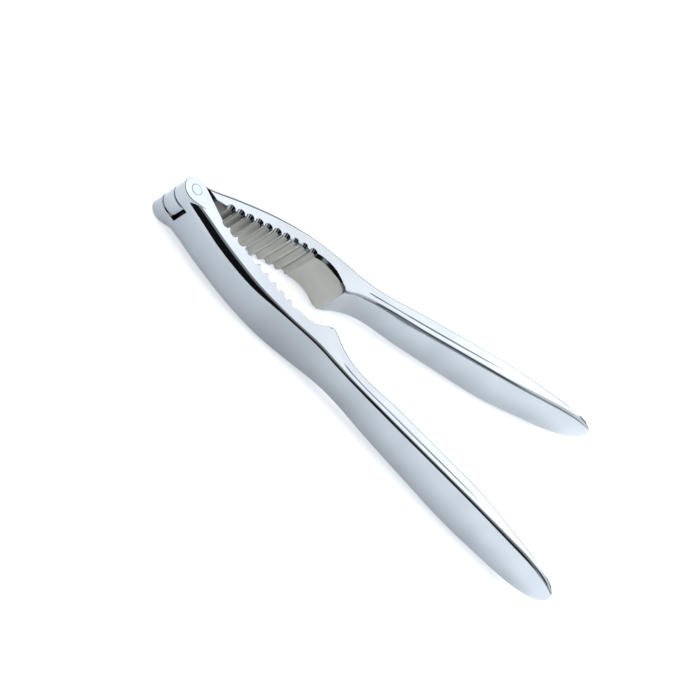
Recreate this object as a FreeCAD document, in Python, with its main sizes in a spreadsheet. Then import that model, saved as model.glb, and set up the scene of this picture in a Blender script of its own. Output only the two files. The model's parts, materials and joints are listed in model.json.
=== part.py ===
import FreeCAD, Part
import math
import os
import Sketcher
from FreeCAD import Placement, Rotation, Vector

# A lever nutcracker in polished die-cast metal, lying on its side and part open.
# Two levers turn on one pin.  The front lever ends in two ears, the rear lever in a tongue
# that fills the slot between them.
#
# Each lever is drawn in a frame of its own: the pin's axis is Z, X runs along the lever to
# the handle's tip, and +Y is the outward side, the back of the lever.  Every lever is the
# same above and below its own XY plane, so the front one is the rear one's outline turned
# over.  The finished model has the centre of its footprint at the origin, and rests on Z = 0.

DIMENSIONS = (
    ("lever_length", 168.0, "pin axis to the tip of the handle"),
    ("half_opening", 11.0, "degrees from the centre line to each lever, as it lies"),
    ("jaw_height", 15.6, "thickness of the jaws, along the pin"),
    ("boss_radius", 4.2, "round end of each lever, about the pin"),
    ("pin_radius", 1.8, "rivet that both levers turn on"),
    ("pin_proud", 0.15, "how far each rivet end stands above its ear"),
    ("pin_end_round", 0.3, "rounding of the rivet's ends"),
    ("running_clearance", 0.05, "radial clearance of the tongue on the pin"),
    ("tongue_height", 5.0, "thickness of the rear lever's tongue"),
    ("side_clearance", 0.15, "gap between the tongue and each ear"),
    ("slot_radius", 5.4, "floor of the front lever's slot, about the pin"),
    ("slot_mouth", 12.5, "how far the slot's inward side is open"),
    ("shoulder_radius", 4.8, "shoulders of the rear lever, about the pin"),
    ("knuckle_round", 0.8, "rounding of the boss's edges"),
    ("knuckle_end", 15.0, "where the boss runs into the jaw"),
    ("knuckle_back", 4.0, "outward side of the jaw at that place"),
    ("flank_end", 11.3, "where the ears' inner flank meets the jaw"),
    ("flank_foot", 0.5, "height of that place above the lever's centre line"),
    ("shoulder_cut", 8.3, "where the rear lever's shoulders cross its centre line"),
    ("shoulder_slope", 33.0, "degrees that the shoulders lean back, to clear the ears' flank"),
    ("groove_radius", 1.7, "round grooves across the jaw"),
    ("groove_pitch", 3.45, "spacing of the grooves"),
    ("groove_first", 12.9, "first groove, from the pin axis"),
    ("groove_depth", 0.95, "depth of each groove"),
    ("groove_rise", 1.75, "how far the row of grooves moves outward over its length"),
    ("hollow_radius", 14.75, "hollow between the grooves and the lip"),
    ("hollow_station", 46.2, "centre of that hollow, along the lever"),
    ("hollow_offset", 13.0, "centre of that hollow, inward of the lever's centre line"),
)

GROOVES = 10

# Sections across the lever, from the pin to where the tip begins: place along the lever,
# outward side, inward side, half height, rounding of the outward and of the inward edges.
# Each run of sections is evenly spaced, so that the surface through them stays fair.
SECTIONS = (
    ("root", 2.0, 4.4, 0.4, 7.8, 1.8, 0.4),
    ("jaw_start", 16.0, 7.3, 0.2, 7.8, 2.6, 0.5),
    ("jaw_middle", 30.0, 8.9, 1.3, 7.8, 2.8, 0.5),
    ("jaw_end", 44.0, 8.3, 1.6, 7.8, 2.8, 0.5),
    ("lip", 58.0, 6.6, -4.4, 7.4, 2.8, 3.6),
    ("shoulder", 65.0, 6.0, -2.5, 6.6, 3.0, 3.0),
    ("neck", 72.0, 5.7, -1.4, 6.1, 3.1, 2.9),
    ("grip_start", 90.5, 5.9, -2.2, 6.8, 3.7, 3.7),
    ("grip", 109.0, 5.8, -2.7, 7.5, 3.9, 3.9),
    ("grip_widest", 127.5, 5.6, -3.0, 8.1, 4.0, 4.0),
    ("grip_end", 146.0, 4.5, -1.7, 8.0, 2.9, 2.9),
)
RUNS = (
    ("jaw", ("root", "jaw_start", "jaw_middle", "jaw_end", "lip")),
    ("throat", ("lip", "shoulder", "neck")),
    ("handle", ("neck", "grip_start", "grip", "grip_widest", "grip_end")),
)
SECTION_SIZES = ("station", "outward", "inward", "half_height", "outer_round", "inner_round")

# The tip closes from the last section as a quarter ellipse, in this many steps.
TIP_STEPS = 7


def make_sheet(doc):
    """Put every driving dimension in a spreadsheet cell with an alias."""
    sheet = doc.addObject("Spreadsheet::Sheet", "Dimensions")
    rows = [(alias, value, note) for alias, value, note in DIMENSIONS]
    for section in SECTIONS:
        for size, value in zip(SECTION_SIZES, section[1:]):
            rows.append((section[0] + "_" + size, value, "section of the lever"))
    for number, (alias, value, note) in enumerate(rows, start=1):
        sheet.set("A%d" % number, alias.replace("_", " "))
        sheet.set("B%d" % number, str(value))
        sheet.set("C%d" % number, note)
        sheet.setAlias("B%d" % number, alias)
    doc.recompute()
    return sheet


def origin_plane(body, role):
    """Find one of a body's own origin planes."""
    for feature in body.Origin.OriginFeatures:
        if feature.Role == role:
            return feature
    raise RuntimeError("no plane " + role)


def new_sketch(body, name, role):
    """Start a sketch on one of the body's origin planes."""
    sketch = body.newObject("Sketcher::SketchObject", name)
    sketch.AttachmentSupport = [(origin_plane(body, role), "")]
    sketch.MapMode = "FlatFace"
    return sketch


def size(sketch, kind, value, alias, *where):
    """Add one dimension to a sketch and bind it to a cell of the sheet."""
    index = sketch.addConstraint(Sketcher.Constraint(kind, *where, value))
    sketch.setExpression("Constraints[%d]" % index, alias)


def cell(name):
    return "Dimensions." + name


def rounded_section(sketch, values, bindings):
    """A rounded rectangle across the lever, with its own rounding outward and inward."""
    out, inn, half, big, small = values
    quarter = math.pi / 2
    corners = (
        (out - big, half - big, big),
        (inn + small, half - small, small),
        (inn + small, small - half, small),
        (out - big, big - half, big),
    )
    arcs = []
    for number, (across, up, radius) in enumerate(corners):
        circle = Part.Circle(Vector(across, up, 0), Vector(0, 0, 1), radius)
        arc = Part.ArcOfCircle(circle, number * quarter, (number + 1) * quarter)
        arcs.append(sketch.addGeometry(arc, False))
    lines = []
    for first, second in zip(arcs, arcs[1:] + arcs[:1]):
        line = Part.LineSegment(sketch.getPoint(first, 2), sketch.getPoint(second, 1))
        lines.append(sketch.addGeometry(line, False))
    for first, line, second in zip(arcs, lines, arcs[1:] + arcs[:1]):
        sketch.addConstraint(Sketcher.Constraint("Tangent", first, 2, line, 1))
        sketch.addConstraint(Sketcher.Constraint("Tangent", line, 2, second, 1))
    sketch.addConstraint(Sketcher.Constraint("Vertical", lines[1]))
    sketch.addConstraint(Sketcher.Constraint("Symmetric", arcs[0], 3, arcs[3], 3, -1))
    sketch.addConstraint(Sketcher.Constraint("Symmetric", arcs[1], 3, arcs[2], 3, -1))
    size(sketch, "DistanceX", out, bindings[0], -1, 1, arcs[0], 1)
    size(sketch, "DistanceX", inn, bindings[1], -1, 1, arcs[1], 2)
    size(sketch, "DistanceY", half, bindings[2], -1, 1, arcs[0], 2)
    size(sketch, "Radius", big, bindings[3], arcs[0])
    size(sketch, "Radius", small, bindings[4], arcs[1])


def lever_section(body, sheet, name):
    """One of the named sections of the lever."""
    sketch = new_sketch(body, body.Label + "_" + name, "YZ_Plane")
    sketch.setExpression(".AttachmentOffset.Base.z", cell(name + "_station"))
    values = [getattr(sheet, name + "_" + part) for part in SECTION_SIZES[1:]]
    bindings = [cell(name + "_" + part) for part in SECTION_SIZES[1:]]
    rounded_section(sketch, values, bindings)
    return sketch


def tip_section(body, sheet, step):
    """A section of the tip: the last named one, drawn in about its own middle."""
    turn = math.pi / 2 * step / TIP_STEPS
    along = math.sin(turn)
    shrink = math.cos(turn) if step < TIP_STEPS else 0.06
    name = SECTIONS[-1][0]
    sketch = new_sketch(body, "%s_tip_%d" % (body.Label, step), "YZ_Plane")
    start, end = cell(name + "_station"), cell("lever_length")
    sketch.setExpression(".AttachmentOffset.Base.z", "%s + (%s - %s) * %.4f" % (start, end, start, along))
    out, inn = getattr(sheet, name + "_outward"), getattr(sheet, name + "_inward")
    middle, half_width = (out + inn) / 2, (out - inn) / 2
    values = [middle + half_width * shrink, middle - half_width * shrink]
    bindings = []
    for sign in ("+", "-"):
        words = "(%s + %s) / 2 %s (%s - %s) / 2 * %.4f"
        out_cell, in_cell = cell(name + "_outward"), cell(name + "_inward")
        bindings.append(words % (out_cell, in_cell, sign, out_cell, in_cell, shrink))
    for part in SECTION_SIZES[3:]:
        values.append(getattr(sheet, name + "_" + part) * shrink)
        bindings.append("%s * %.4f" % (cell(name + "_" + part), shrink))
    rounded_section(sketch, values, bindings)
    return sketch


def loft(doc, body, name, sketches, ruled):
    """A solid through a run of sections, added to the body."""
    feature = body.newObject("PartDesign::AdditiveLoft", name)
    feature.Profile = sketches[0]
    feature.Sections = sketches[1:]
    feature.Ruled = ruled
    doc.recompute()
    return feature


def boss_outline(sketch, sheet, with_flank):
    """Plan of the round end about the pin, and of the flanks that lead from it to the jaw."""
    radius = sheet.boss_radius
    end, back = sheet.knuckle_end, sheet.knuckle_back
    foot = sheet.flank_foot
    outer = math.atan2(back, end) + math.acos(radius / math.hypot(end, back))
    if with_flank:
        corner = Vector(sheet.flank_end, foot, 0)
        inner = math.atan2(foot, corner.x) - math.acos(radius / math.hypot(corner.x, foot))
    else:
        corner = Vector((sheet.flank_end + radius) / 2, foot, 0)
        inner = math.asin(foot / radius)
    circle = Part.Circle(Vector(0, 0, 0), Vector(0, 0, 1), radius)
    arc = sketch.addGeometry(Part.ArcOfCircle(circle, outer, inner + 2 * math.pi), False)
    points = [sketch.getPoint(arc, 2), corner, Vector(end, foot, 0), Vector(end, back, 0)]
    points.append(sketch.getPoint(arc, 1))
    lines = []
    for start, finish in zip(points, points[1:]):
        lines.append(sketch.addGeometry(Part.LineSegment(start, finish), False))
    for first, second in zip(lines, lines[1:]):
        sketch.addConstraint(Sketcher.Constraint("Coincident", first, 2, second, 1))
    sketch.addConstraint(Sketcher.Constraint("Coincident", arc, 3, -1, 1))
    sketch.addConstraint(Sketcher.Constraint("Tangent", lines[3], 2, arc, 1))
    sketch.addConstraint(Sketcher.Constraint("Tangent" if with_flank else "Coincident", arc, 2, lines[0], 1))
    sketch.addConstraint(Sketcher.Constraint("Horizontal", lines[1]))
    sketch.addConstraint(Sketcher.Constraint("Vertical", lines[2]))
    size(sketch, "Radius", radius, cell("boss_radius"), arc)
    size(sketch, "DistanceX", end, cell("knuckle_end"), -1, 1, lines[2], 2)
    size(sketch, "DistanceY", back, cell("knuckle_back"), -1, 1, lines[2], 2)
    size(sketch, "DistanceY", foot, cell("flank_foot"), -1, 1, lines[1], 2)
    if with_flank:
        size(sketch, "DistanceX", corner.x, cell("flank_end"), -1, 1, lines[0], 2)
    else:
        sketch.addConstraint(Sketcher.Constraint("Horizontal", lines[0]))


def closed_outline(sketch, points):
    """Join points with straight lines into one closed outline, and hold them there."""
    lines = []
    for start, end in zip(points, points[1:] + points[:1]):
        line = Part.LineSegment(Vector(start[0], start[1], 0), Vector(end[0], end[1], 0))
        lines.append(sketch.addGeometry(line, False))
    for first, second in zip(lines, lines[1:] + lines[:1]):
        sketch.addConstraint(Sketcher.Constraint("Coincident", first, 2, second, 1))
    for line in lines:
        sketch.addConstraint(Sketcher.Constraint("Block", line))


def pad_both_ways(body, name, sketch, height):
    """Thicken a plan outline equally above and below the lever's middle plane."""
    pad = body.newObject("PartDesign::Pad", name)
    pad.Profile = sketch
    pad.SideType = "Symmetric"
    pad.setExpression("Length", height)
    return pad


def cut_both_ways(doc, body, name, sketch, height):
    """Cut a plan outline through the lever's middle, and check that it took something away."""
    doc.recompute()
    before = body.Shape.Volume
    pocket = body.newObject("PartDesign::Pocket", name)
    pocket.Profile = sketch
    pocket.SideType = "Symmetric"
    pocket.setExpression("Length", height)
    doc.recompute()
    if not body.Shape.Volume < before:
        raise RuntimeError(name + " cut nothing")
    return pocket


def lever_blank(doc, sheet, label, with_flank):
    """The casting that both levers start from: boss, jaw and handle, with no hole or slot."""
    body = doc.addObject("PartDesign::Body", label)
    body.Label = label
    plan = new_sketch(body, label + "_boss_plan", "XY_Plane")
    boss_outline(plan, sheet, with_flank)
    boss = pad_both_ways(body, label + "_boss", plan, cell("jaw_height"))
    doc.recompute()

    rim = []
    for number, edge in enumerate(body.Shape.Edges, start=1):
        box = edge.BoundBox
        flat = box.ZLength < 0.01 and abs(abs(box.ZMax) - sheet.jaw_height / 2) < 0.01
        inside = box.XMin > sheet.knuckle_end - 0.01
        if flat and not inside:
            rim.append("Edge%d" % number)
    rounding = body.newObject("PartDesign::Fillet", label + "_boss_rounding")
    rounding.Base = (boss, rim)
    rounding.setExpression("Radius", cell("knuckle_round"))
    doc.recompute()

    sketches = {section[0]: lever_section(body, sheet, section[0]) for section in SECTIONS}
    for run, names in RUNS:
        loft(doc, body, label + "_" + run, [sketches[name] for name in names], False)
    tip = [tip_section(body, sheet, step) for step in range(1, TIP_STEPS + 1)]
    loft(doc, body, label + "_tip", [sketches[SECTIONS[-1][0]]] + tip, True)
    return body


def circle_sketch(body, name, radius, binding):
    """A circle about the pin's axis."""
    sketch = new_sketch(body, name, "XY_Plane")
    circle = sketch.addGeometry(Part.Circle(Vector(0, 0, 0), Vector(0, 0, 1), radius), False)
    sketch.addConstraint(Sketcher.Constraint("Coincident", circle, 3, -1, 1))
    size(sketch, "Radius", radius, binding, circle)
    return sketch


def cut_jaw_face(doc, sheet, body):
    """Cut the row of grooves and the hollow behind the lip."""
    grooves = new_sketch(body, body.Label + "_groove_plan", "XY_Plane")
    length = sheet.groove_pitch * (GROOVES - 1)
    for number in range(GROOVES):
        station = sheet.groove_first + sheet.groove_pitch * number
        rise = math.sin(math.pi / 2 * sheet.groove_pitch * number / length)
        across = sheet.groove_rise * rise + sheet.groove_depth - sheet.groove_radius
        centre = Vector(station, across, 0)
        circle = grooves.addGeometry(Part.Circle(centre, Vector(0, 0, 1), sheet.groove_radius), False)
        place = "%s + %s * %d" % (cell("groove_first"), cell("groove_pitch"), number)
        size(grooves, "DistanceX", station, place, -1, 1, circle, 3)
        words = "%s * %.4f + %s - %s"
        height = words % (cell("groove_rise"), rise, cell("groove_depth"), cell("groove_radius"))
        size(grooves, "DistanceY", across, height, -1, 1, circle, 3)
        size(grooves, "Radius", sheet.groove_radius, cell("groove_radius"), circle)
    cut_both_ways(doc, body, body.Label + "_grooves", grooves, cell("jaw_height") + " * 2")

    hollow = new_sketch(body, body.Label + "_hollow_plan", "XY_Plane")
    centre = Vector(sheet.hollow_station, -sheet.hollow_offset, 0)
    circle = hollow.addGeometry(Part.Circle(centre, Vector(0, 0, 1), sheet.hollow_radius), False)
    size(hollow, "DistanceX", sheet.hollow_station, cell("hollow_station"), -1, 1, circle, 3)
    size(hollow, "DistanceY", -sheet.hollow_offset, "-" + cell("hollow_offset"), -1, 1, circle, 3)
    size(hollow, "Radius", sheet.hollow_radius, cell("hollow_radius"), circle)
    cut_both_ways(doc, body, body.Label + "_hollow", hollow, cell("jaw_height") + " * 2")


def front_lever(doc, sheet):
    """The lever with two ears: its slot takes the other lever's tongue."""
    body = lever_blank(doc, sheet, "front_lever", True)
    cut_jaw_face(doc, sheet, body)
    slot = cell("tongue_height") + " + 2 * " + cell("side_clearance")
    floor = circle_sketch(body, "slot_floor", sheet.slot_radius, cell("slot_radius"))
    cut_both_ways(doc, body, "slot", floor, slot)
    foot = new_sketch(body, "slot_mouth_plan", "XY_Plane")
    end, deep = sheet.slot_mouth, sheet.boss_radius + 1.0
    closed_outline(foot, [(0.0, sheet.flank_foot), (0.0, -deep), (end, -deep), (end, sheet.flank_foot)])
    cut_both_ways(doc, body, "slot_mouth", foot, slot)
    bore = circle_sketch(body, "ear_bore_plan", sheet.pin_radius, cell("pin_radius"))
    cut_both_ways(doc, body, "ear_bore", bore, cell("jaw_height") + " * 2")
    return body


def rear_lever(doc, sheet):
    """The lever with a tongue between two shoulders, which clear the other lever's ears."""
    body = lever_blank(doc, sheet, "rear_lever", False)
    cut_jaw_face(doc, sheet, body)
    full = cell("jaw_height") + " * 2"
    clear = circle_sketch(body, "shoulder_round_plan", sheet.shoulder_radius, cell("shoulder_radius"))
    cut_both_ways(doc, body, "shoulder_round", clear, full)
    lean = math.radians(sheet.shoulder_slope)
    radius = sheet.shoulder_radius
    top = (sheet.shoulder_cut - radius * 0.8 / math.tan(lean), radius * 0.8)
    low = (sheet.shoulder_cut + radius * 0.4 / math.tan(lean), -radius * 0.4)
    flat = new_sketch(body, "shoulder_flat_plan", "XY_Plane")
    closed_outline(flat, [top, low, (0.0, -2 * radius), (0.0, 0.0)])
    cut_both_ways(doc, body, "shoulder_flat", flat, full)
    tongue = new_sketch(body, "tongue_plan", "XY_Plane")
    boss_outline(tongue, sheet, False)
    pad_both_ways(body, "tongue", tongue, cell("tongue_height"))
    doc.recompute()
    free = cell("pin_radius") + " + " + cell("running_clearance")
    bore = circle_sketch(body, "tongue_bore_plan", sheet.pin_radius + sheet.running_clearance, free)
    cut_both_ways(doc, body, "tongue_bore", bore, full)
    return body


def hinge_pin(doc, sheet):
    """The rivet: a plain round pin, rounded at both ends, that both levers turn on."""
    body = doc.addObject("PartDesign::Body", "hinge_pin")
    body.Label = "hinge_pin"
    plan = circle_sketch(body, "pin_plan", sheet.pin_radius, cell("pin_radius"))
    shank = pad_both_ways(body, "pin_shank", plan, cell("jaw_height") + " + 2 * " + cell("pin_proud"))
    doc.recompute()
    ends = []
    for number, edge in enumerate(shank.Shape.Edges, start=1):
        if edge.BoundBox.ZLength < 0.01:
            ends.append("Edge%d" % number)
    rounding = body.newObject("PartDesign::Fillet", "pin_rounding")
    rounding.Base = (shank, ends)
    rounding.setExpression("Radius", cell("pin_end_round"))
    doc.recompute()
    return body


def place(doc, sheet, front, rear, pin):
    """Open the levers about the centre line, and set the footprint's centre at the origin."""
    angle = sheet.half_opening
    up = Vector(0, 0, 1)
    over = Rotation(Vector(1, 0, 0), 180)
    front.Placement = Placement(Vector(0, 0, 0), Rotation(up, -angle).multiply(over))
    rear.Placement = Placement(Vector(0, 0, 0), Rotation(up, angle))
    doc.recompute()
    boxes = [body.Shape.optimalBoundingBox() for body in (front, rear)]
    middle = (min(box.XMin for box in boxes) + max(box.XMax for box in boxes)) / 2
    lowest = min(box.ZMin for box in boxes)
    for body in (front, rear, pin):
        body.Placement = Placement(Vector(-middle, 0, -lowest), body.Placement.Rotation)
    doc.recompute()


def check(doc, bodies):
    """Stop if any object failed, or any piece isn't one valid solid."""
    for item in doc.Objects:
        if "Invalid" in item.State or "Error" in item.State:
            raise RuntimeError("failed: " + item.Label)
    for body in bodies:
        shape = body.Shape
        if shape.isNull() or not shape.isValid() or len(shape.Solids) != 1:
            raise RuntimeError("not one valid solid: " + body.Label)


def main():
    doc = FreeCAD.newDocument("nutcracker")
    sheet = make_sheet(doc)
    front = front_lever(doc, sheet)
    rear = rear_lever(doc, sheet)
    pin = hinge_pin(doc, sheet)
    place(doc, sheet, front, rear, pin)
    bodies = (front, rear, pin)
    check(doc, bodies)
    os.makedirs("parts", exist_ok=True)
    for body in bodies:
        body.Shape.exportStep("parts/%s.step" % body.Label)
        print(body.Label, round(body.Shape.Volume, 1), body.Placement.Base)


main()
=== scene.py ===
"""Looks of a cast, chrome-plated lever nutcracker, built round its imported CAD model.

Both levers are lofted in a frame of their own, in millimetres: the pin's axis is Z, X runs
along the lever to the handle's tip and +Y is the lever's back.  They are then turned into
place about the pin and scaled to metres.
"""

import json
import math

import bmesh
import bpy
from bpy.props import FloatProperty, FloatVectorProperty, PointerProperty, StringProperty
from bpy.types import Operator, Panel, PropertyGroup
from mathutils import Matrix, Vector


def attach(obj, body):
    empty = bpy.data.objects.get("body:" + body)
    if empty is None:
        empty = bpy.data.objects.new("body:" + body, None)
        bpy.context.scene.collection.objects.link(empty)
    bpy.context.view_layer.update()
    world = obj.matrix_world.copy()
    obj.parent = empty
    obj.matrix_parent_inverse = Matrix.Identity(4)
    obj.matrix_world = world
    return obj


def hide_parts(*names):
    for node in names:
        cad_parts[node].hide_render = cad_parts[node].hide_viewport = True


bl_info = {
    "name": "Lever Nutcracker",
    "version": (1, 0, 0),
    "blender": (4, 5, 0),
    "location": "View3D > Sidebar > Nutcracker",
    "description": "Models the chrome-plated levers and the rivet of a nutcracker, and its studio",
    "category": "Object",
}

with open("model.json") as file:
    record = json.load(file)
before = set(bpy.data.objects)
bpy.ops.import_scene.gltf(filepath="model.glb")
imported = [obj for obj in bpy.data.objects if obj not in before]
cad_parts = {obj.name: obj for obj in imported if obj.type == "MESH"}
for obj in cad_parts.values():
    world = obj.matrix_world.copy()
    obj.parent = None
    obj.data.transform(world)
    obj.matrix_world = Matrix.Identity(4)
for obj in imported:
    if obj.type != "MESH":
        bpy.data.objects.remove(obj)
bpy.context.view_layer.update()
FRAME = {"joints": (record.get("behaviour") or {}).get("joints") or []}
HINGE = Vector(FRAME["joints"][0]["pos_m"])
MM = 0.001

# Sections across a lever: place along it, outward side, inward side, half height, rounding of
# the outward and of the inward edges, crown of the back, and depth of the flute in each side.
SECTIONS = (
    (0.0, 4.19, 0.4, 7.8, 2.6, 0.4, 0.05, 0.0),
    (5.0, 5.0, 0.4, 7.8, 3.4, 0.4, 0.15, 0.0),
    (16.0, 7.5, 0.2, 7.8, 3.9, 0.5, 0.30, 0.0),
    (30.0, 9.1, 1.3, 7.8, 3.3, 0.5, 0.40, 0.0),
    (44.0, 8.4, 1.6, 7.8, 1.8, 0.6, 0.50, 0.0),
    (58.0, 6.6, -4.4, 7.4, 1.8, 1.3, 0.60, 0.0),
    (65.0, 6.0, -2.5, 6.6, 1.7, 1.7, 0.80, 0.15),
    (72.0, 5.7, -1.4, 6.1, 1.5, 1.5, 1.00, 0.35),
    (90.5, 5.9, -2.2, 6.8, 1.5, 1.5, 1.20, 0.45),
    (109.0, 5.8, -2.7, 7.5, 1.5, 1.6, 1.35, 0.42),
    (127.5, 5.55, -3.0, 8.05, 1.6, 2.0, 1.45, 0.25),
    (146.0, 4.45, -1.7, 7.8, 2.1, 2.4, 1.35, 0.0),
)
TIP = 167.7
# How square the tip's outline is, seen from the side and from above: 2 is an ellipse.
BLUNT_SIDE = 2.3
BLUNT_PLAN = 2.6
# Rounding of both edges at the tip's very end.
TIP_ROUND = 2.15
# Crown of the inner face, as a share of the back's.
INNER_CROWN = 0.9

# The jaw: its grooves follow a face that curves outward, and the hollow is a part of a round.
GROOVES = 10
FIRST_GROOVE = 12.9
JAW_RISE = 1.75
HOLLOW_SPAN = (40.0, 60.0)
HOLLOW_CENTRE = (46.2, -13.0)
HOLLOW_RADIUS = 14.75
GROOVES_END = 46.0
JAW_START = 10.5
LIP = 58.4

# Straight parts of each outline across a lever.
FACE_STEPS = 10
EDGE_STEPS = 12
TOP_STEPS = 24
INNER_STEPS = 8

# Round parts of the room: azimuth and elevation of the middle, and the half angles between
# which the border fades, all in degrees.
SOFTBOX = (58, 58, 39, 42)
WHITE_CARD = (10, 38, 30, 40)
DARK_SCREENS = ((-110, 28, 31, 35), (-42, 31, 9, 13), (-82, 26, 18, 22))


def linear(code):
    """An sRGB hex colour as linear red, green, blue and alpha."""
    channels = [int(code[i : i + 2], 16) / 255 for i in (1, 3, 5)]
    return [c / 12.92 if c <= 0.04045 else ((c + 0.055) / 1.055) ** 2.4 for c in channels] + [1.0]


class NUTCRACKER_PG_lever(PropertyGroup):
    half_opening: FloatProperty(
        name="Half Opening", description="From the centre line to each lever, as it lies",
        default=math.radians(11.0), subtype="ANGLE")
    boss_radius: FloatProperty(
        name="Boss Radius", description="Round end of each lever, in millimetres", default=4.2)
    jaw_height: FloatProperty(
        name="Jaw Height", description="Thickness of the jaws, in millimetres", default=15.6)
    rim_round: FloatProperty(
        name="Rim Rounding", description="Rounding of the boss's edges, in millimetres", default=0.8)
    tongue_height: FloatProperty(
        name="Tongue Height", description="Thickness of the rear lever's tongue, in millimetres",
        default=5.0)
    side_gap: FloatProperty(
        name="Side Gap", description="Between the tongue and each ear, in millimetres", default=0.15)
    slot_radius: FloatProperty(
        name="Slot Radius", description="Floor of the ears' slot about the pin, in millimetres",
        default=5.4)
    shoulder_radius: FloatProperty(
        name="Shoulder Radius", description="Rear lever's shoulders about the pin, in millimetres",
        default=4.8)
    groove_pitch: FloatProperty(
        name="Groove Pitch", description="Spacing of the jaw's grooves, in millimetres", default=3.45)
    groove_radius: FloatProperty(
        name="Groove Radius", description="Radius of the jaw's grooves, in millimetres", default=1.7)
    groove_depth: FloatProperty(
        name="Groove Depth", description="Depth of the jaw's grooves, in millimetres", default=0.95)
    jaw_chamfer: FloatProperty(
        name="Jaw Chamfer", description="Chamfer along the jaw's side edges, in millimetres",
        default=1.0)
    soft_edge: FloatProperty(
        name="Soft Edge", description="The same edge along the rest of the lever, in millimetres",
        default=0.25)


class NUTCRACKER_PG_pin(PropertyGroup):
    radius: FloatProperty(name="Radius", description="Radius of the rivet, in millimetres", default=1.8)
    proud: FloatProperty(
        name="Proud", description="Height of each end above its ear, in millimetres", default=0.15)


class NUTCRACKER_PG_finish(PropertyGroup):
    chrome: StringProperty(
        name="Chrome", description="Colour of the polished plate, as sRGB hex", default="#AFB6BD")
    cast: StringProperty(
        name="Cast Face", description="Colour of the unpolished plated jaw faces, as sRGB hex",
        default="#A9A9A5")
    # Painted shade: this colour darkens the jaw faces deep in the grooves, standing in for the shade
    # that falls there.
    painted_groove_shade: StringProperty(
        name="Recess", description="Colour where the plate is thin and dark, as sRGB hex",
        default="#90908A")
    polish: FloatProperty(
        name="Polish", description="Roughness of the polished plate", default=0.06, min=0.0, max=1.0)
    cast_roughness: FloatProperty(
        name="Cast Roughness", description="Roughness of the jaw faces", default=0.42, min=0.0, max=1.0)


class NUTCRACKER_PG_studio(PropertyGroup):
    elevation: FloatProperty(
        name="Elevation", description="Camera above the horizon",
        default=math.radians(41.15), subtype="ANGLE")
    azimuth: FloatProperty(
        name="Azimuth", description="Camera about Z, from +X",
        default=math.radians(-122.1), subtype="ANGLE")
    roll: FloatProperty(
        name="Roll", description="Camera about its own axis",
        default=math.radians(-61.45), subtype="ANGLE")
    distance: FloatProperty(
        name="Distance", description="Camera to the point that it aims at",
        default=0.695, subtype="DISTANCE")
    aim: FloatVectorProperty(
        name="Aim", description="Point that the camera aims at",
        default=(-0.01057, -0.00371, 0.00822), subtype="TRANSLATION")
    lens: FloatProperty(name="Lens", description="Focal length in millimetres", default=119.9)
    room: FloatProperty(name="Room", description="Brightness of the pale room", default=0.6)
    softbox: FloatProperty(
        name="Softbox", description="Brightness of the overhead softbox", default=2.6)
    card: FloatProperty(
        name="White Card", description="Brightness of the card beyond the tips", default=1.3)
    table: FloatProperty(name="Light Table", description="Glow of the floor from below", default=0.6)
    floor_size: FloatProperty(
        name="Floor Size", description="Side of the floor", default=8.0, subtype="DISTANCE")


def hermite(stations, values, place):
    """Height at one place of a smooth curve through values at rising stations."""
    last = len(stations) - 1
    index = max(0, min(last - 1, sum(1 for s in stations if s <= place) - 1))
    x0, x1 = stations[index], stations[index + 1]
    y0, y1 = values[index], values[index + 1]
    slope = (y1 - y0) / (x1 - x0)

    def tangent(i):
        if i in (0, last):
            return slope
        before = (values[i] - values[i - 1]) / (stations[i] - stations[i - 1])
        after = (values[i + 1] - values[i]) / (stations[i + 1] - stations[i])
        return (before + after) / 2

    span = x1 - x0
    t = (place - x0) / span
    m0, m1 = tangent(index) * span, tangent(index + 1) * span
    return ((2 * t**3 - 3 * t**2 + 1) * y0 + (t**3 - 2 * t**2 + t) * m0
            + (3 * t**2 - 2 * t**3) * y1 + (t**3 - t**2) * m1)


def section_at(place):
    """Interpolated section sizes at one place along the lever."""
    stations = [s[0] for s in SECTIONS]
    return [hermite(stations, [s[i] for s in SECTIONS], place) for i in range(1, 8)]


def jaw_rise(lever, along):
    """How far outward the grooved face has curved, at a distance from the first groove."""
    share = along / (lever.groove_pitch * (GROOVES - 1))
    return JAW_RISE * math.sin(math.pi / 2 * max(0.0, min(1.0, share)))


def hollow_cut(place):
    """How far outward the hollow behind the lip cuts at one place."""
    return HOLLOW_CENTRE[1] + math.sqrt(max(0.0, HOLLOW_RADIUS**2 - (place - HOLLOW_CENTRE[0]) ** 2))


def jaw_cut(lever, place):
    """How far outward the grooves and the hollow cut at one place, or None."""
    cuts = []
    for number in range(GROOVES):
        along = place - FIRST_GROOVE - lever.groove_pitch * number
        if abs(along) < lever.groove_radius:
            bottom = jaw_rise(lever, lever.groove_pitch * number) + lever.groove_depth
            cuts.append(bottom - lever.groove_radius + math.sqrt(lever.groove_radius**2 - along**2))
    if HOLLOW_SPAN[0] < place < HOLLOW_SPAN[1]:
        cuts.append(hollow_cut(place))
    return max(cuts) if cuts else None


def side(extent, half, radius, crown):
    """Points from the middle of one side face to the top of its rounded edge."""
    lean = 0.0
    for _ in range(4):
        height = half - radius + radius * math.sin(lean)
        lean = math.atan2(2 * crown * height, half * half)
    centre = extent - crown * (height / half) ** 2 - radius * math.cos(lean)
    steps = [height * i / FACE_STEPS for i in range(FACE_STEPS)]
    face = [(extent - crown * (up / half) ** 2, up) for up in steps]
    turn = math.pi / 2 - lean
    edge = []
    for i in range(EDGE_STEPS + 1):
        angle = lean + turn * i / EDGE_STEPS
        edge.append((centre + radius * math.cos(angle), half - radius + radius * math.sin(angle)))
    return face + edge


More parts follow.
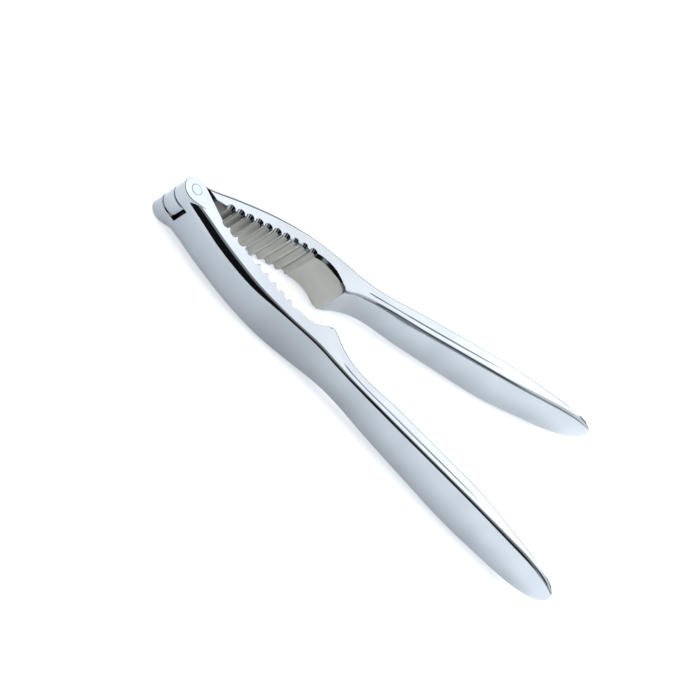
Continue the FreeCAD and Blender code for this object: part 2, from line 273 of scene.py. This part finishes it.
def spread(path, count, start, end):
    """Points evenly spaced along a path, without the given lengths at its two ends."""
    lengths = [0.0]
    for a, b in zip(path, path[1:]):
        lengths.append(lengths[-1] + math.dist(a, b))
    result = []
    index = 0
    for i in range(count + 1):
        target = start + (lengths[-1] - start - end) * i / count
        while index < len(path) - 2 and lengths[index + 1] < target:
            index += 1
        gap = lengths[index + 1] - lengths[index]
        t = (target - lengths[index]) / gap if gap > 1e-9 else 0.0
        a, b = path[index], path[index + 1]
        result.append((a[0] + (b[0] - a[0]) * t, a[1] + (b[1] - a[1]) * t))
    return result


def ring_at(lever, place):
    """The closed outline across the lever at one place, as (outward, up) pairs.

    The half outline has three stretches: the back with its rounded edge, the top with its
    flute down to where the inner face begins, and the inner face.
    """
    thin = low = 1.0
    end = SECTIONS[-1][0]
    values = section_at(min(place, end))
    if place > end:
        share = (place - end) / (TIP - end)
        run = (place - end) * (1 - share / 2)
        before = section_at(end - 1.0)
        values[:3] = [now + (now - last) * run for now, last in zip(values[:3], before[:3])]
    out, inn, half, big, small, crown, flute = values
    if place > end:
        thin = max(0.0, 1 - share**BLUNT_PLAN) ** (1 / BLUNT_PLAN)
        low = max(0.0, 1 - share**BLUNT_SIDE) ** (1 / BLUNT_SIDE)
        big += (TIP_ROUND - big) * min(1.0, share * 1.5)
        small += (TIP_ROUND - small) * min(1.0, share * 1.5)
    outer = side(out, half, big, crown)
    inner = [(-y, z) for y, z in side(-inn, half, small, crown * INNER_CROWN)]
    top_start, top_end = outer[-1][0], inner[-1][0]
    rest = [outer[-1]]
    for i in range(1, TOP_STEPS):
        t = i / TOP_STEPS
        up = half - flute * math.sin(math.pi * t) ** 2
        rest.append((top_start + (top_end - top_start) * t, up))
    rest += inner[::-1]
    corner = len(rest) - FACE_STEPS
    cut = jaw_cut(lever, place)
    if cut is not None and cut > inn + 0.02:
        corner = next(i for i in range(1, len(rest)) if rest[i][0] < cut)
        (y0, z0), (y1, z1) = rest[corner - 1], rest[corner]
        meet = (cut, z0 + (z1 - z0) * (cut - y0) / (y1 - y0))
        upper, lower = rest[:corner] + [meet], [meet, (cut, 0.0)]
    else:
        upper, lower = rest[: corner + 1], rest[corner:]
    in_jaw = max(0.0, min(1.0, place - JAW_START, (LIP - place) / 5.0))
    soft = lever.soft_edge + (lever.jaw_chamfer - lever.soft_edge) * in_jaw
    half_ring = outer[:-1] + spread(upper, TOP_STEPS, 0.0, soft)
    half_ring += spread(lower, INNER_STEPS, soft, 0.0)
    middle = (out + inn) / 2
    half_ring = [(middle + (y - middle) * thin, z * low) for y, z in half_ring]
    return half_ring + [(y, -z) for y, z in half_ring[-2:0:-1]]


def cutter_at(lever, place):
    """Which cut shapes the jaw's face at one place: a groove's number, "hollow" or None."""
    cut = jaw_cut(lever, place)
    if cut is None or cut <= section_at(place)[1]:
        return None
    if place > HOLLOW_SPAN[0] and abs(cut - hollow_cut(place)) < 1e-9:
        return "hollow"
    return round((place - FIRST_GROOVE) / lever.groove_pitch)


def jaw_edges(lever):
    """Places where one cut of the jaw's face meets the next, found by halving."""
    step = 0.05
    edges = []
    place = 10.0
    while place < HOLLOW_SPAN[1]:
        if cutter_at(lever, place) != cutter_at(lever, place + step):
            low, high = place, place + step
            for _ in range(30):
                middle = (low + high) / 2
                if cutter_at(lever, middle) == cutter_at(lever, low):
                    low = middle
                else:
                    high = middle
            edges.append((low + high) / 2)
        place += step
    return edges


def stations_along(lever):
    """Places of the rings: one at every edge of the jaw's face, and close at the tip."""
    last = SECTIONS[-1][0]
    edges = [0.0, *jaw_edges(lever), last]
    places = []
    for start, end in zip(edges, edges[1:]):
        pace = 0.3 if end - start < 4.0 else (1.0 if start > 40.0 or start < 10.0 else 0.5)
        count = max(2, math.ceil((end - start) / pace))
        if start > 57.0:
            count = math.ceil((end - start) / 1.4)
        places += [start + (end - start) * i / count for i in range(count)]
    tip_rings = 23
    places += [last + (TIP - last) * math.sin(math.pi / 2 * i / tip_rings) for i in range(tip_rings)]
    return places + [TIP]


def face_outward(bm):
    """Point every face of a closed shape outward."""
    bmesh.ops.recalc_face_normals(bm, faces=bm.faces)
    bm.normal_update()
    if bm.calc_volume(signed=True) < 0:
        bmesh.ops.reverse_faces(bm, faces=bm.faces)
        bm.normal_update()


def loft_blank(lever):
    """Jaw and handle of one lever, with its grooves and hollow, from a grid wrapped into a tube."""
    places = stations_along(lever)
    rings = [ring_at(lever, place) for place in places]
    count = len(rings[0])
    bm = bmesh.new()
    bmesh.ops.create_grid(bm, x_segments=count, y_segments=len(places) - 1, size=1.0)
    for vert in bm.verts:
        across = round((vert.co.x + 1) / 2 * count)
        along = round((vert.co.y + 1) / 2 * (len(places) - 1))
        y, z = rings[along][across % count]
        vert.co = (places[along], y, z)
    bmesh.ops.remove_doubles(bm, verts=bm.verts, dist=1e-5)
    rim = [edge for edge in bm.edges if edge.is_boundary]
    bmesh.ops.holes_fill(bm, edges=rim)
    face_outward(bm)
    return bm


def plan_points(radius, end, back, foot, with_flank):
    """Plan of the boss: an arc about the pin, and straight sides that run into the jaw."""
    outer = math.atan2(back, end) + math.acos(radius / math.hypot(end, back))
    if with_flank:
        inner = math.atan2(foot, end) - math.acos(radius / math.hypot(foot, end))
    else:
        inner = math.asin(foot / radius)
    points = []
    for i in range(65):
        angle = outer + (inner + 2 * math.pi - outer) * i / 64
        points.append((radius * math.cos(angle), radius * math.sin(angle)))
    return points + [(end, foot), (end, back)]


def shoulder_points(radius):
    """Plan of what the shoulders leave out: a round about the pin, then a flat that leans back."""
    lean = math.radians(33.0)
    # Where the flat crosses the lever's line, and where the round starts beside the back.
    crossing, shelf = 8.3, 2.3
    behind, above, inside, below = -8.0, 8.0, -3.0, -12.0
    apart = crossing * math.sin(lean)
    meet = math.pi / 2 - lean - math.acos(apart / radius)
    start = math.acos(shelf / radius)
    points = [(behind, below), (behind, above), (shelf, above)]
    for i in range(13):
        angle = start + (meet - start) * i / 12
        points.append((radius * math.cos(angle), radius * math.sin(angle)))
    far = crossing - inside / math.tan(lean)
    return points + [(far, inside), (far, below)]


def prism(points, height, rim_round):
    """A plan outline thickened equally up and down, its rims rounded."""
    bm = bmesh.new()
    verts = [bm.verts.new((x, y, -height / 2)) for x, y in points]
    face = bm.faces.new(verts)
    lifted = bmesh.ops.extrude_face_region(bm, geom=[face])
    top = [v for v in lifted["geom"] if isinstance(v, bmesh.types.BMVert)]
    bmesh.ops.translate(bm, verts=top, vec=(0, 0, height))
    face_outward(bm)
    if rim_round:
        rims = [e for e in bm.edges if abs(e.verts[0].co.z - e.verts[1].co.z) < 1e-6]
        bmesh.ops.bevel(bm, geom=rims, offset=rim_round, offset_type="OFFSET", affect="EDGES",
                        segments=6, profile=0.5, material=-1, clamp_overlap=True)
    return bm


def drum(radius, height, segments=128):
    """A plain round cutter about the pin."""
    bm = bmesh.new()
    bmesh.ops.create_cone(bm, cap_ends=True, segments=segments,
                          radius1=radius, radius2=radius, depth=height)
    return bm


def turned(profile, steps):
    """A closed solid turned about the pin from (radius, height) points, ends on the axis."""
    bm = bmesh.new()
    verts = [bm.verts.new((r, 0, z)) for r, z in profile]
    edges = [bm.edges.new(pair) for pair in zip(verts, verts[1:])]
    bmesh.ops.spin(bm, geom=verts + edges, cent=(0, 0, 0), axis=(0, 0, 1), angle=2 * math.pi,
                   steps=steps, use_merge=True)
    bmesh.ops.remove_doubles(bm, verts=bm.verts, dist=1e-4)
    face_outward(bm)
    return bm


def flared_drum(boss, radius, height):
    """The slot's cutter, flared at the boss so that the ears' inner edges come out eased."""
    half, ease = height / 2, 0.4
    upper = [(radius, half + ease), (boss + 0.05, half + ease), (boss - ease, half), (0.0, half)]
    return turned([(r, -z) for r, z in upper[::-1]] + upper, 128)


def as_object(bm, name):
    mesh = bpy.data.meshes.new(name)
    bm.to_mesh(mesh)
    bm.free()
    piece = bpy.data.objects.new(name, mesh)
    bpy.context.scene.collection.objects.link(piece)
    return piece


def combine(piece, tool_mesh, operation):
    """Cut one shape from a piece, or join it on, and drop the tool."""
    tool = as_object(tool_mesh, piece.name + "_tool")
    modifier = piece.modifiers.new("combine", "BOOLEAN")
    modifier.operation = operation
    modifier.solver = "EXACT"
    modifier.object = tool
    graph = bpy.context.evaluated_depsgraph_get()
    made = bpy.data.meshes.new_from_object(piece.evaluated_get(graph))
    piece.modifiers.clear()
    old = piece.data
    piece.data = made
    bpy.data.meshes.remove(old)
    bpy.data.objects.remove(tool)
    if not made.polygons:
        raise RuntimeError(piece.name + ": the shapes did not combine")


def finish_lever(piece, lever, placement, first_groove):
    """Smooth the casting, part its polished skin from its jaw face, and set it in place."""
    bm = bmesh.new()
    bm.from_mesh(piece.data)
    bmesh.ops.remove_doubles(bm, verts=bm.verts, dist=1e-3)
    face_outward(bm)
    # How far down into a groove each point lies, which the jaw's material turns into painted shade.
    depth = bm.verts.layers.float.new("depth")
    for vert in bm.verts:
        x, y = vert.co.xy
        below = (y - jaw_rise(lever, x - FIRST_GROOVE)) / lever.groove_depth
        vert[depth] = max(0.0, min(1.0, below)) if x < GROOVES_END else 0.0
    for face in bm.faces:
        face.smooth = True
        middle = face.calc_center_median()
        inward = face.normal.y < -0.25 and abs(face.normal.z) < 0.5
        cut = jaw_cut(lever, middle.x)
        near = cut is not None and abs(middle.y - cut) < 0.25
        crest = section_at(min(max(middle.x, 2.0), 140.0))[1]
        land = first_groove < middle.x < GROOVES_END and abs(middle.y - crest) < 0.2
        in_groove = first_groove < middle.x < LIP and middle.y < 4.0 and near
        cast = (in_groove and abs(face.normal.z) < 0.6) or (inward and land)
        face.material_index = 1 if cast else 0
    for edge in bm.edges:
        if len(edge.link_faces) == 2 and edge.calc_face_angle(0.0) > math.radians(32):
            edge.smooth = False
    bmesh.ops.transform(bm, matrix=placement, verts=bm.verts)
    bm.to_mesh(piece.data)
    bm.free()


def lever_placement(turn, turned_over):
    """From the lever's own frame in millimetres to the model's frame in metres."""
    over = Matrix.Rotation(math.pi, 4, "X") if turned_over else Matrix.Identity(4)
    return Matrix.Translation(HINGE) @ Matrix.Rotation(turn, 4, "Z") @ over @ Matrix.Scale(MM, 4)


def add(tree, kind, settings=None, links=None):
    """Add one node, set its sockets and properties, and link its inputs."""
    node = tree.nodes.new(kind)
    for key, value in (settings or {}).items():
        if isinstance(key, int) or key in node.inputs:
            node.inputs[key].default_value = value
        else:
            setattr(node, key, value)
    for key, source in (links or {}).items():
        tree.links.new(source, node.inputs[key])
    return node


def mix(tree, factor, first, second):
    """A colour between two others, each given as four numbers or as a node's output."""
    node = add(tree, "ShaderNodeMix", {"data_type": "RGBA"}, {"Factor": factor})
    for socket, colour in ((6, first), (7, second)):
        if isinstance(colour, bpy.types.NodeSocket):
            tree.links.new(colour, node.inputs[socket])
        else:
            node.inputs[socket].default_value = colour
    return node.outputs[2]


def new_material(name):
    material = bpy.data.materials.new(name)
    material.use_nodes = True
    material.node_tree.nodes.clear()
    return material, material.node_tree


def polished_chrome(name, finish):
    """Bright chrome plate over a polished casting.

    The plate mirrors the room.  Slow waves, as polishing by hand leaves, bend the
    reflections a little, and fine wiping marks spread the brightest ones.  Along the tool its
    colour carries painted shade, set to match the photo: darker on the arch and the waist,
    brightest at the tips.
    """
    material, tree = new_material(name)
    place = add(tree, "ShaderNodeTexCoord")
    waves = add(tree, "ShaderNodeTexNoise", {"Scale": 1 / 0.012, "Detail": 1.0, "Roughness": 0.4},
                {"Vector": place.outputs["Object"]})
    stretch = add(tree, "ShaderNodeMapping", {"Scale": (0.06, 1.0, 1.0)},
                  {"Vector": place.outputs["Object"]})
    wiping = add(tree, "ShaderNodeTexNoise", {"Scale": 1 / 0.0006, "Detail": 3.0, "Roughness": 0.6},
                 {"Vector": stretch.outputs["Vector"]})
    gloss = add(tree, "ShaderNodeMapRange",
                {"From Min": 0.35, "From Max": 0.7,
                 "To Min": finish.polish * 0.6, "To Max": finish.polish * 1.6},
                {"Value": wiping.outputs["Fac"]})
    tone = add(tree, "ShaderNodeMapRange", {"From Min": 0.3, "From Max": 0.7},
               {"Value": waves.outputs["Fac"]})
    colour = linear(finish.chrome)
    paler = [min(1.0, c * 1.05) for c in colour[:3]] + [1.0]
    darker = [c * 0.96 for c in colour[:3]] + [1.0]
    tint = mix(tree, tone.outputs["Result"], darker, paler)
    # Painted shade: the plate's colour is multiplied by a ramp along X, darker on the arch and the
    # waist, full at the tips.
    along = add(tree, "ShaderNodeSeparateXYZ", {}, {"Vector": place.outputs["Object"]})
    share = add(tree, "ShaderNodeMapRange", {"From Min": -0.080, "From Max": 0.085},
                {"Value": along.outputs["X"]})
    painted_shade_along = add(tree, "ShaderNodeValToRGB", {}, {"Fac": share.outputs["Result"]})
    stops = painted_shade_along.color_ramp.elements
    for position, left in ((0.28, 0.64), (0.44, 0.70), (0.68, 0.85)):
        stops.new(position).color = [left] * 3 + [1.0]
    stops[0].color = [0.80] * 3 + [1.0]
    plate = add(tree, "ShaderNodeVectorMath", {"operation": "MULTIPLY"},
                {0: tint, 1: painted_shade_along.outputs["Color"]})
    slow = add(tree, "ShaderNodeBump", {"Strength": 0.55, "Distance": 0.0002},
               {"Height": waves.outputs["Fac"]})
    fine = add(tree, "ShaderNodeBump", {"Strength": 0.03, "Distance": 0.00002},
               {"Height": wiping.outputs["Fac"], "Normal": slow.outputs["Normal"]})
    shader = add(tree, "ShaderNodeBsdfPrincipled", {"Metallic": 1.0},
                 {"Base Color": plate.outputs["Vector"], "Roughness": gloss.outputs["Result"],
                  "Normal": fine.outputs["Normal"]})
    add(tree, "ShaderNodeOutputMaterial", {}, {"Surface": shader.outputs["BSDF"]})
    return material


def cast_jaw(name, finish):
    """Plated but unpolished cast metal, as the mould left it.

    It is satin and warm grey, with a fine cast grain, and painted shade darkens it a little
    deep in the grooves.
    """
    material, tree = new_material(name)
    place = add(tree, "ShaderNodeTexCoord")
    grain = add(tree, "ShaderNodeTexNoise", {"Scale": 1 / 0.0004, "Detail": 4.0, "Roughness": 0.65},
                {"Vector": place.outputs["Object"]})
    patches = add(tree, "ShaderNodeTexNoise", {"Scale": 1 / 0.005, "Detail": 3.0, "Roughness": 0.5},
                  {"Vector": place.outputs["Object"]})
    # Painted shade: deeper in a groove the tint runs toward the groove shade colour, mixed with random
    # patches.
    depth = add(tree, "ShaderNodeAttribute", {"attribute_name": "depth"})
    shade = add(tree, "ShaderNodeMath", {"operation": "MULTIPLY_ADD", 1: 0.55, 2: -0.1},
                {0: depth.outputs["Fac"]})
    mottle_and_groove_shade = add(tree, "ShaderNodeMath", {"operation": "MULTIPLY_ADD", 1: 0.5},
                  {0: patches.outputs["Fac"], 2: shade.outputs["Value"]})
    tint = mix(tree, mottle_and_groove_shade.outputs["Value"], linear(finish.cast), linear(finish.painted_groove_shade))
    rough = add(tree, "ShaderNodeMapRange",
                {"To Min": finish.cast_roughness - 0.1, "To Max": finish.cast_roughness + 0.12},
                {"Value": grain.outputs["Fac"]})
    bump = add(tree, "ShaderNodeBump", {"Strength": 0.35, "Distance": 0.00006},
               {"Height": grain.outputs["Fac"]})
    shader = add(tree, "ShaderNodeBsdfPrincipled", {"Metallic": 1.0},
                 {"Base Color": tint, "Roughness": rough.outputs["Result"],
                  "Normal": bump.outputs["Normal"]})
    add(tree, "ShaderNodeOutputMaterial", {}, {"Surface": shader.outputs["BSDF"]})
    return material


def hand_over(piece, body, node, materials):
    """Give a finished piece its materials, tie it to its body and hide its CAD node."""
    for material in materials:
        piece.data.materials.append(material)
    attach(piece, body)
    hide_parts(node)


class NUTCRACKER_OT_front_lever(Operator):
    """Model the front lever, with its two ears and the slot between them"""

    bl_idname = "nutcracker.front_lever"
    bl_label = "Front Lever"

    def execute(self, context):
        lever, finish = context.scene.nutcracker_lever, context.scene.nutcracker_finish
        piece = as_object(loft_blank(lever), "front_lever_casting")
        plan = plan_points(lever.boss_radius, end=11.2, back=1.0, foot=0.5, with_flank=True)
        combine(piece, prism(plan, lever.jaw_height, lever.rim_round), "UNION")
        slot = lever.tongue_height + 2 * lever.side_gap
        combine(piece, flared_drum(lever.boss_radius, lever.slot_radius, slot), "DIFFERENCE")
        # The tongue swings out through the slot's open side.
        near, far, floor, open_side = 0.0, 12.5, 0.5, -5.2
        mouth = [(near, floor), (near, open_side), (far, open_side), (far, floor)]
        combine(piece, prism(mouth, slot, 0.0), "DIFFERENCE")
        combine(piece, drum(context.scene.nutcracker_pin.radius, lever.jaw_height * 2), "DIFFERENCE")
        finish_lever(piece, lever, lever_placement(-lever.half_opening, True), 10.0)
        skins = [polished_chrome("polished_chrome_front", finish),
                 cast_jaw("as_cast_jaw_front", finish)]
        hand_over(piece, "front", "front_lever", skins)
        return {"FINISHED"}


class NUTCRACKER_OT_rear_lever(Operator):
    """Model the rear lever, with the tongue that fills the slot"""

    bl_idname = "nutcracker.rear_lever"
    bl_label = "Rear Lever"

    def execute(self, context):
        lever, finish = context.scene.nutcracker_lever, context.scene.nutcracker_finish
        piece = as_object(loft_blank(lever), "rear_lever_casting")
        full = lever.jaw_height * 2
        combine(piece, prism(shoulder_points(lever.shoulder_radius), full, 0.0), "DIFFERENCE")
        plan = plan_points(lever.boss_radius, end=11.0, back=2.5, foot=0.5, with_flank=False)
        combine(piece, prism(plan, lever.tongue_height, rim_round=0.4), "UNION")
        bore = context.scene.nutcracker_pin.radius + 0.05
        combine(piece, drum(bore, full), "DIFFERENCE")
        finish_lever(piece, lever, lever_placement(lever.half_opening, False), 8.0)
        skins = [polished_chrome("polished_chrome_rear", finish),
                 cast_jaw("as_cast_jaw_rear", finish)]
        hand_over(piece, "rear", "rear_lever", skins)
        return {"FINISHED"}


class NUTCRACKER_OT_hinge_pin(Operator):
    """Turn the rivet that joins the levers, with its slightly domed ends"""

    bl_idname = "nutcracker.hinge_pin"
    bl_label = "Hinge Pin"

    def execute(self, context):
        lever, finish = context.scene.nutcracker_lever, context.scene.nutcracker_finish
        pin = context.scene.nutcracker_pin
        half = lever.jaw_height / 2 + pin.proud
        dome, rim = 0.05, 0.3
        profile = [(0.0, half)]
        for i in range(1, 6):
            across = (pin.radius - rim) * i / 5
            profile.append((across, half - dome * (across / pin.radius) ** 2))
        edge = half - dome * ((pin.radius - rim) / pin.radius) ** 2
        for i in range(1, 7):
            angle = math.pi / 2 * i / 6
            out, up = rim * math.sin(angle), rim * math.cos(angle)
            profile.append((pin.radius - rim + out, edge - rim + up))
        profile += [(r, -z) for r, z in profile[::-1]]
        bm = turned(profile, 72)
        for face in bm.faces:
            face.smooth = True
        bmesh.ops.transform(bm, matrix=lever_placement(0.0, False), verts=bm.verts)
        piece = as_object(bm, "hinge_pin_rivet")
        skin = polished_chrome("polished_chrome_rivet", finish)
        hand_over(piece, "front", "hinge_pin", [skin])
        return {"FINISHED"}


class NUTCRACKER_OT_studio(Operator):
    """Lay the pale floor, light the room and set up the camera"""

    bl_idname = "nutcracker.studio"
    bl_label = "Studio"

    def execute(self, context):
        studio = context.scene.nutcracker_studio
        self.lay_floor(studio)
        self.light_room(context.scene, studio)
        self.place_camera(context.scene, studio)
        context.scene.view_settings.view_transform = "Standard"
        return {"FINISHED"}

    def lay_floor(self, studio):
        bm = bmesh.new()
        bmesh.ops.create_grid(bm, x_segments=8, y_segments=8, size=studio.floor_size / 2)
        floor = as_object(bm, "studio_floor")
        material, tree = new_material("matt_white_paper")
        shader = add(tree, "ShaderNodeBsdfPrincipled",
                     {"Base Color": linear("#F7F9FB"), "Roughness": 0.9, "Specular IOR Level": 0.1,
                      "Emission Color": linear("#F7F9FB"), "Emission Strength": studio.table})
        add(tree, "ShaderNodeOutputMaterial", {}, {"Surface": shader.outputs["BSDF"]})
        floor.data.materials.append(material)

    def light_room(self, scene, studio):
        world = bpy.data.worlds.new("pale_room")
        world.use_nodes = True
        scene.world = world
        tree = world.node_tree
        tree.nodes.clear()
        ways = add(tree, "ShaderNodeTexCoord")
        unit = add(tree, "ShaderNodeVectorMath", {"operation": "NORMALIZE"},
                   {0: ways.outputs["Generated"]})

        def patch(azimuth, elevation, inner, outer):
            """Share of a round patch of the room, soft from one angle to the other."""
            a, e = math.radians(azimuth), math.radians(elevation)
            aim = (math.cos(e) * math.cos(a), math.cos(e) * math.sin(a), math.sin(e))
            dot = add(tree, "ShaderNodeVectorMath", {"operation": "DOT_PRODUCT", 1: aim},
                      {0: unit.outputs["Vector"]})
            return add(tree, "ShaderNodeMapRange",
                       {"interpolation_type": "SMOOTHSTEP", "From Min": math.cos(math.radians(outer)),
                        "From Max": math.cos(math.radians(inner))},
                       {"Value": dot.outputs["Value"]}).outputs["Result"]

        room = [studio.room * c for c in linear("#F4F8FC")[:3]] + [1.0]
        light = mix(tree, patch(*WHITE_CARD), room, [studio.card] * 3 + [1.0])
        light = mix(tree, patch(*SOFTBOX), light, [studio.softbox] * 3 + [1.0])
        screens = patch(*DARK_SCREENS[0])
        for screen in DARK_SCREENS[1:]:
            screens = add(tree, "ShaderNodeMath", {"operation": "MAXIMUM"},
                          {0: screens, 1: patch(*screen)}).outputs["Value"]
        light = mix(tree, screens, light, linear("#202224"))
        # Behind the nutcracker the camera sees plain white.
        seen = add(tree, "ShaderNodeLightPath")
        light = mix(tree, seen.outputs["Is Camera Ray"], light, [1.0] * 4)
        glow = add(tree, "ShaderNodeBackground", {"Strength": 1.0}, {"Color": light})
        add(tree, "ShaderNodeOutputWorld", {}, {"Surface": glow.outputs["Background"]})

    def place_camera(self, scene, studio):
        camera = bpy.data.cameras.new("studio_camera")
        camera.lens = studio.lens
        camera.sensor_width = 36.0
        holder = bpy.data.objects.new("studio_camera", camera)
        scene.collection.objects.link(holder)
        e, a = studio.elevation, studio.azimuth
        back = Vector((math.cos(e) * math.cos(a), math.cos(e) * math.sin(a), math.sin(e)))
        right = Vector((0, 0, 1)).cross(back).normalized()
        up = back.cross(right)
        turned_right = right * math.cos(studio.roll) - up * math.sin(studio.roll)
        turned_up = right * math.sin(studio.roll) + up * math.cos(studio.roll)
        axes = Matrix((turned_right, turned_up, back)).transposed().to_4x4()
        holder.matrix_world = Matrix.Translation(Vector(studio.aim) + back * studio.distance) @ axes
        scene.camera = holder


class NUTCRACKER_PT_build(Panel):
    """Sizes, finishes and steps of the nutcracker"""

    bl_label = "Nutcracker"
    bl_space_type = "VIEW_3D"
    bl_region_type = "UI"
    bl_category = "Nutcracker"

    def draw(self, context):
        for group in GROUPS:
            settings = getattr(context.scene, group)
            column = self.layout.column(align=True)
            for name in settings.bl_rna.properties.keys():
                if name not in ("rna_type", "name"):
                    column.prop(settings, name)
        for operator in OPERATORS:
            self.layout.operator(operator.bl_idname)


GROUPS = {
    "nutcracker_lever": NUTCRACKER_PG_lever,
    "nutcracker_pin": NUTCRACKER_PG_pin,
    "nutcracker_finish": NUTCRACKER_PG_finish,
    "nutcracker_studio": NUTCRACKER_PG_studio,
}
OPERATORS = (
    NUTCRACKER_OT_front_lever,
    NUTCRACKER_OT_rear_lever,
    NUTCRACKER_OT_hinge_pin,
    NUTCRACKER_OT_studio,
)


def register():
    for kind in (*GROUPS.values(), *OPERATORS, NUTCRACKER_PT_build):
        bpy.utils.register_class(kind)
    for name, group in GROUPS.items():
        setattr(bpy.types.Scene, name, PointerProperty(type=group))


def unregister():
    for name in GROUPS:
        delattr(bpy.types.Scene, name)
    for kind in (NUTCRACKER_PT_build, *reversed(OPERATORS), *reversed(GROUPS.values())):
        bpy.utils.unregister_class(kind)


def main():
    register()
    bpy.ops.nutcracker.front_lever()
    bpy.ops.nutcracker.rear_lever()
    bpy.ops.nutcracker.hinge_pin()
    bpy.ops.nutcracker.studio()


if __name__ == "__main__":
    main()
